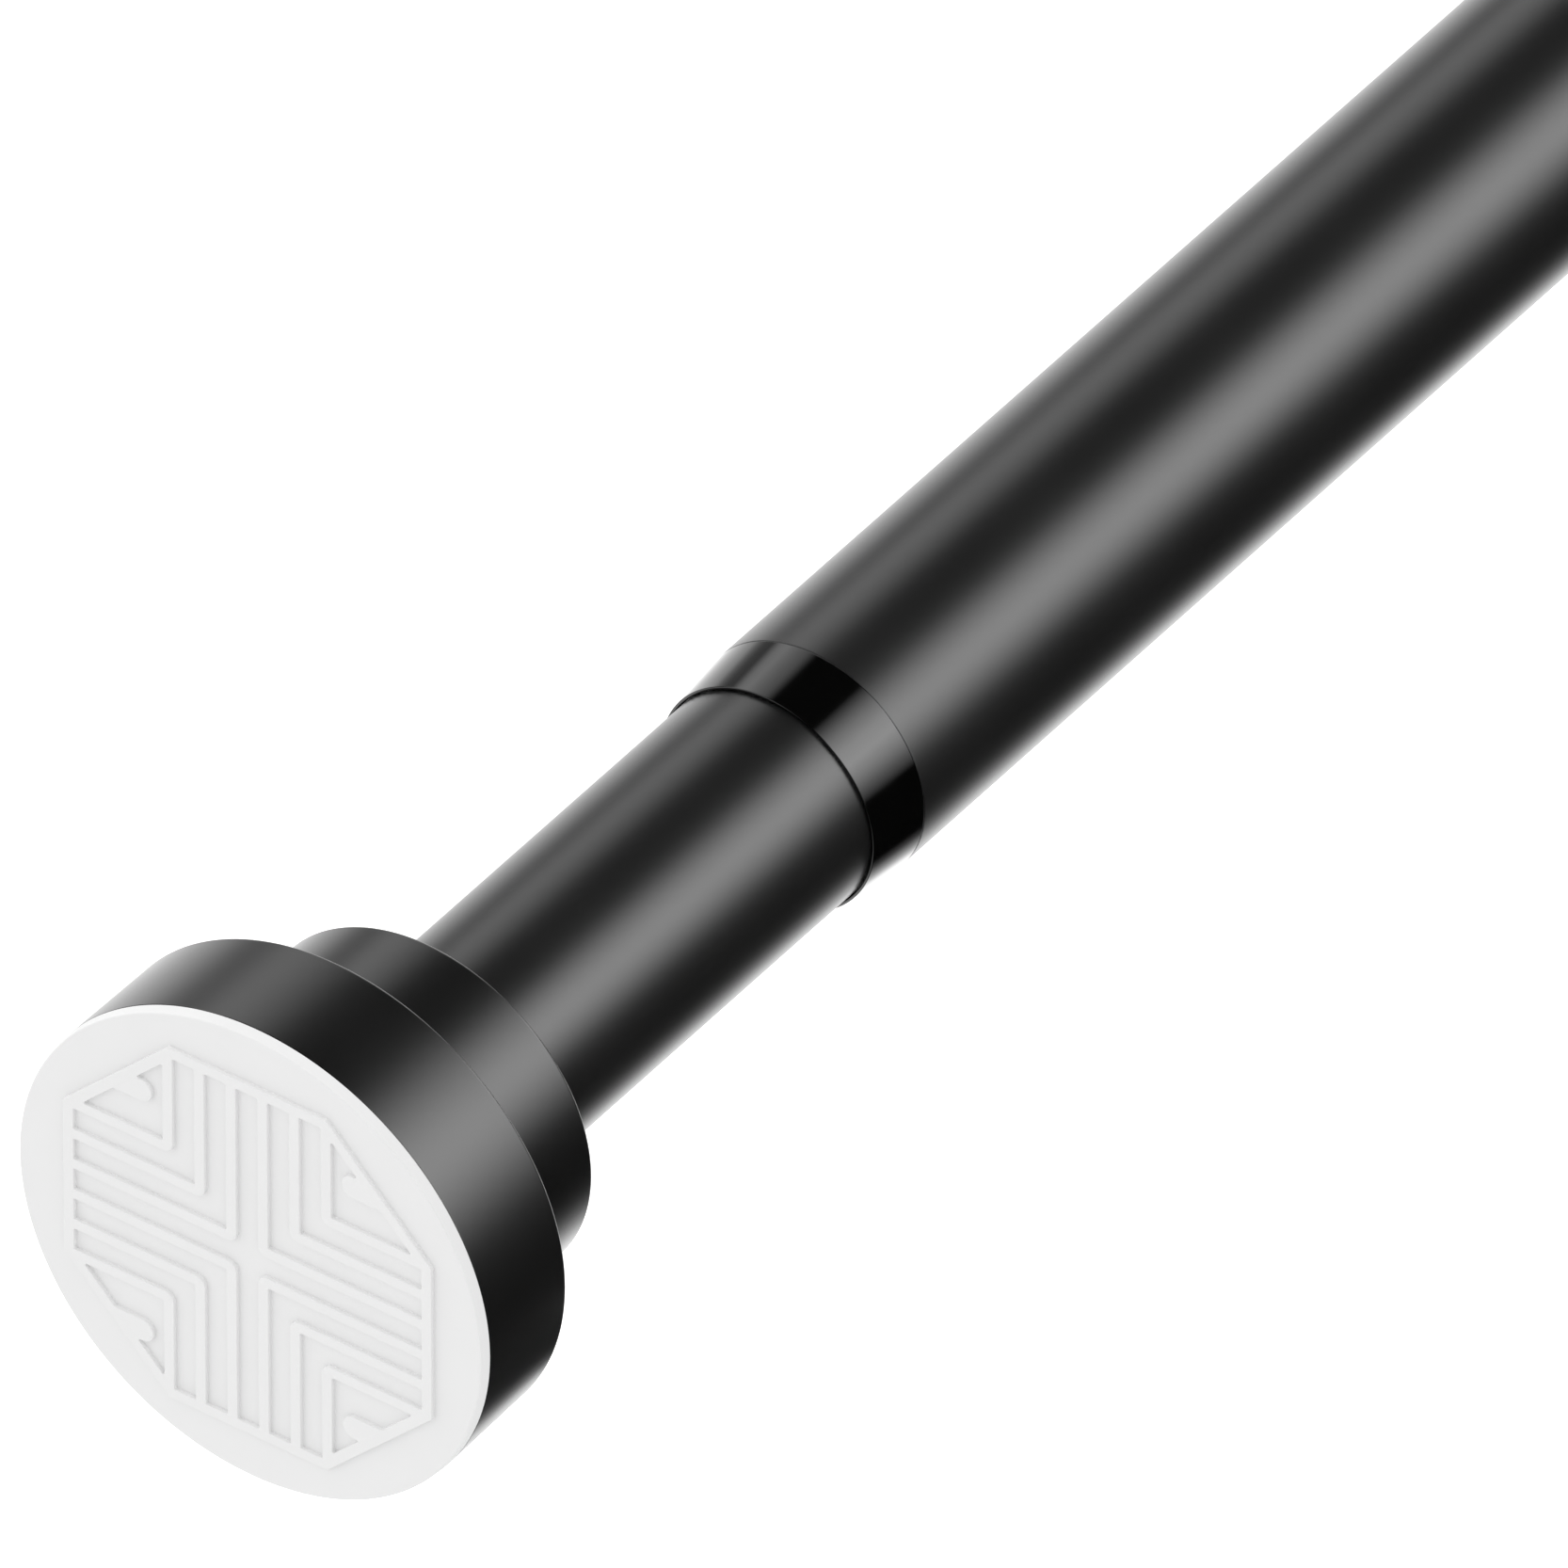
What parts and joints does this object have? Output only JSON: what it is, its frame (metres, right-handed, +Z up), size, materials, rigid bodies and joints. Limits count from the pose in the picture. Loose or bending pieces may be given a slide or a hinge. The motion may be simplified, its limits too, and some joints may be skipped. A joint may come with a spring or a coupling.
{
  "type": "shower curtain rod",
  "caption": "Telescopic spring-tension shower curtain rod: black steel tubes, tapered collar, stepped end caps and treaded rubber wall pads, with a twist lock inside.",
  "frame": {"origin": "centre of the left wall pad, on the plane of its rib tops, where the wall is", "axes": "+X along the rod from the left wall to the right wall, +Z up"},
  "size_m": [1.1035, 0.0512, 0.0512],
  "materials": {
    "pad_rubber": "matte",
    "cap_black": "satin",
    "tube_black": "satin",
    "collar_black": "gloss",
    "nylon": "satin",
    "wedge_plastic": "satin",
    "sleeve_plastic": "matte",
    "zinc_steel": "satin",
    "spring_steel": "satin"
  },
  "bodies": {
    "left_unit": {"left_pad": "pad_rubber", "left_end_cap": "cap_black", "left_cap_screw": "zinc_steel", "left_tube_plug": "nylon", "inner_tube": "tube_black", "spring_seat": "nylon", "thrust_spring": "spring_steel", "end_bush": "nylon"},
    "plunger_unit": {"plunger": "nylon", "lock_bolt": "zinc_steel", "bolt_washer": "zinc_steel", "bolt_nut": "zinc_steel"},
    "lock_sleeve": {"expanding_sleeve": "sleeve_plastic"},
    "wedge": {"lock_wedge": "wedge_plastic"},
    "right_unit": {"guide_collar": "collar_black", "outer_tube": "tube_black", "right_tube_plug": "nylon", "right_cap_screw": "zinc_steel", "right_end_cap": "cap_black", "right_pad": "pad_rubber"}
  },
  "joints": [
    {"name": "spring_stroke", "type": "slide", "parent": "left_unit", "child": "plunger_unit", "axis": [1, 0, 0], "range_m": [-0.02, 0], "stiffness_N_per_m": 3700, "springref_m": 0.01, "deforming": ["thrust_spring"]},
    {"name": "lock_twist", "type": "hinge", "parent": "plunger_unit", "child": "lock_sleeve", "pos_m": [1, 0, 0], "axis": [1, 0, 0], "range_deg": [0, 540]},
    {"name": "wedge_feed", "type": "slide", "parent": "lock_sleeve", "child": "wedge", "axis": [1, 0, 0], "range_m": [0, 0.0019]},
    {"name": "length_slide", "type": "slide", "parent": "lock_sleeve", "child": "right_unit", "axis": [1, 0, 0], "range_m": [-0.03, 0.724]}
  ],
  "couplings": [
    {"joint": "wedge_feed", "follows": "lock_twist", "m_per_rad": 0.00019894}
  ]
}
